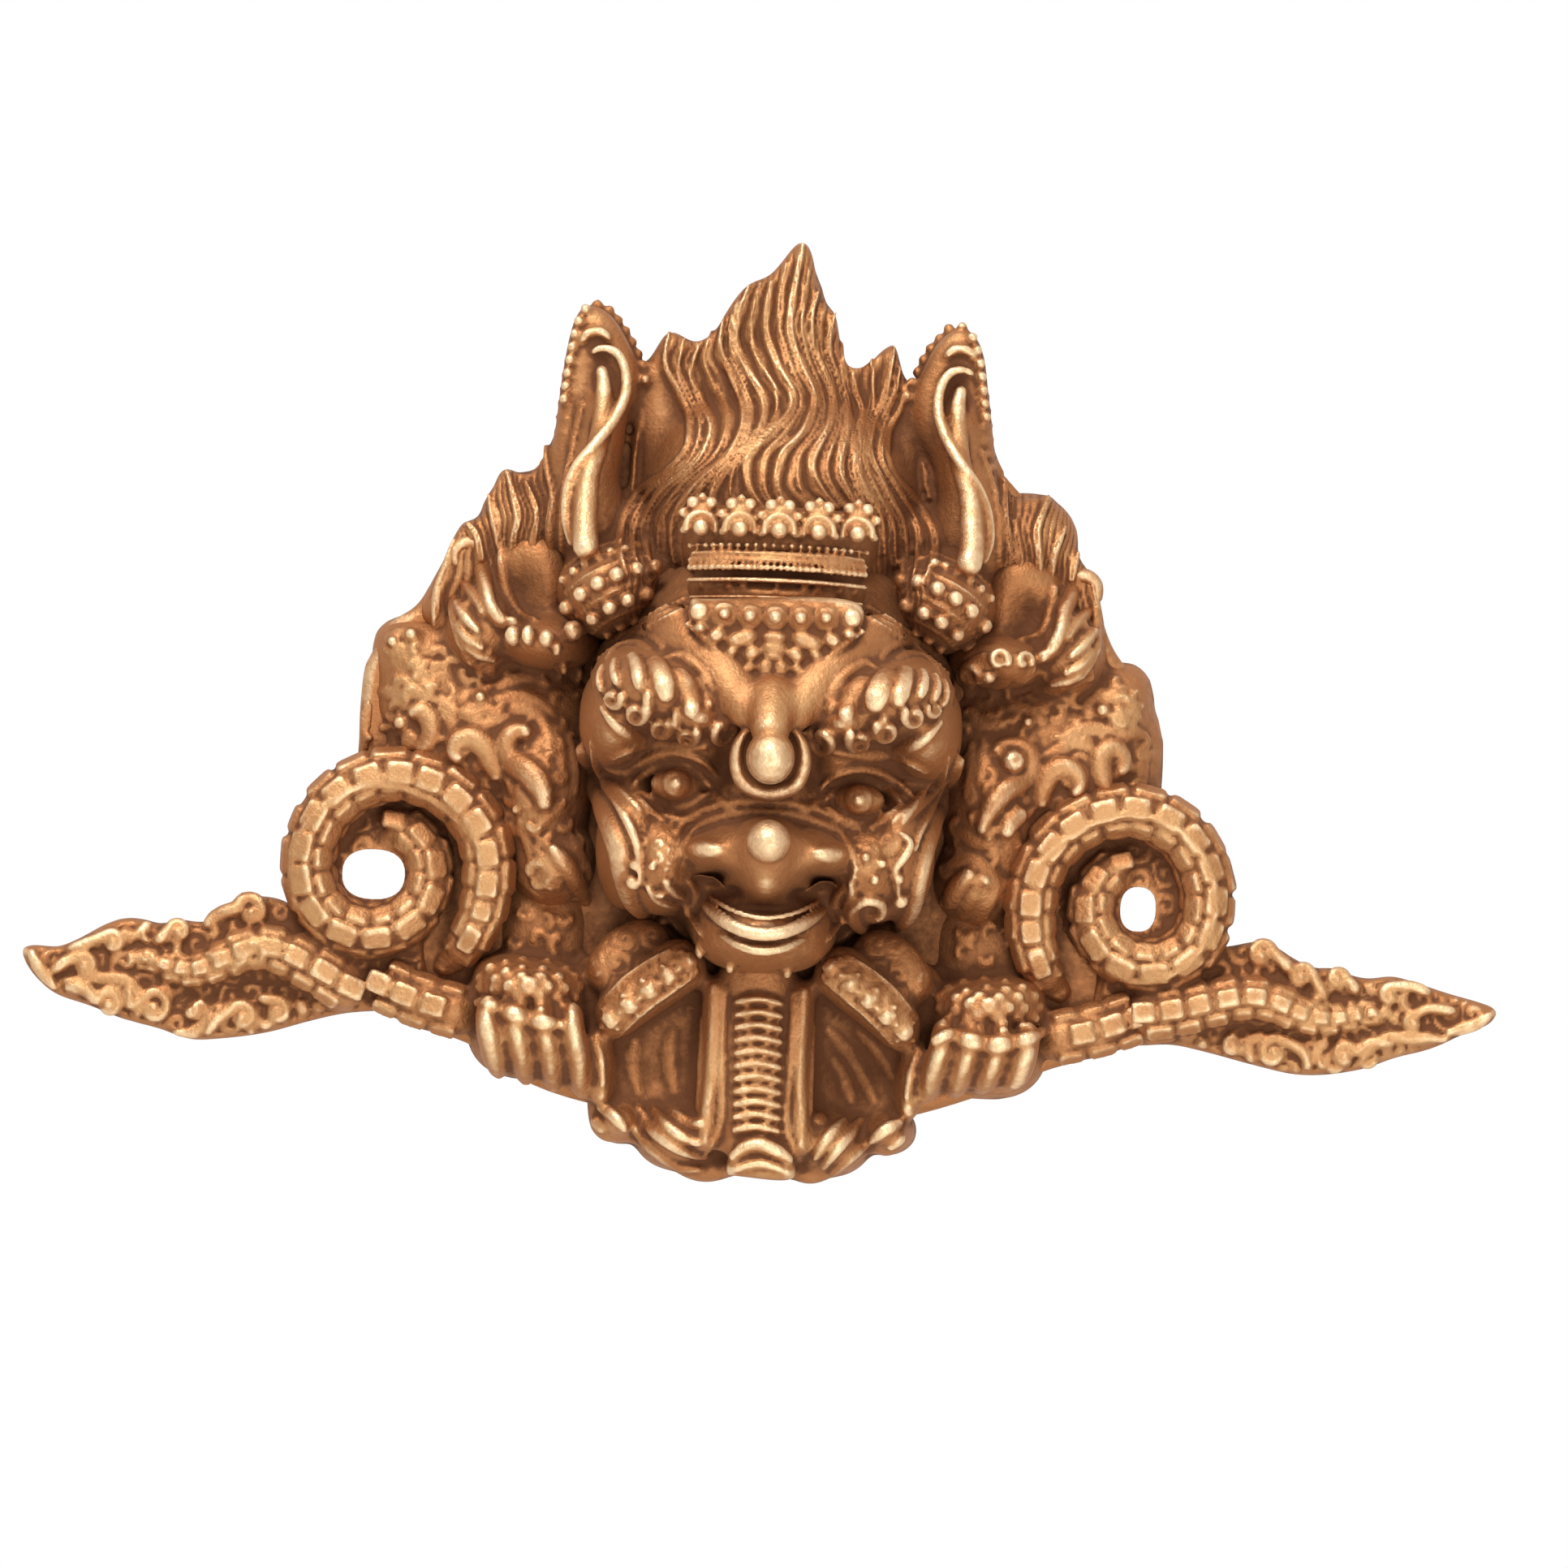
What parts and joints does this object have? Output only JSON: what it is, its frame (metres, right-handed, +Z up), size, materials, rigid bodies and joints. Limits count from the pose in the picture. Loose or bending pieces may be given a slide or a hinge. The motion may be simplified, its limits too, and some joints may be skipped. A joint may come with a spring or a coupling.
{
  "type": "garuda mask",
  "caption": "Cast brass wall mask: horned garuda face with flame hair and crown, fists gripping serpents that coil beside it and end on leaf-shaped tails; hollow behind the head.",
  "frame": {"origin": "point on the wall plane behind the foot of the crown, where the flat back rests on the wall", "axes": "+X to the viewer's right along the longest extent, +Z up, +Y into the wall, so the face looks towards -Y"},
  "size_m": [0.2502, 0.052, 0.1597],
  "materials": {
    "aged_brass": "satin, rubbed bright on the high points, dark brown patina in the recesses"
  },
  "bodies": {
    "root": {"garuda_mask": "aged_brass"}
  },
  "joints": []
}
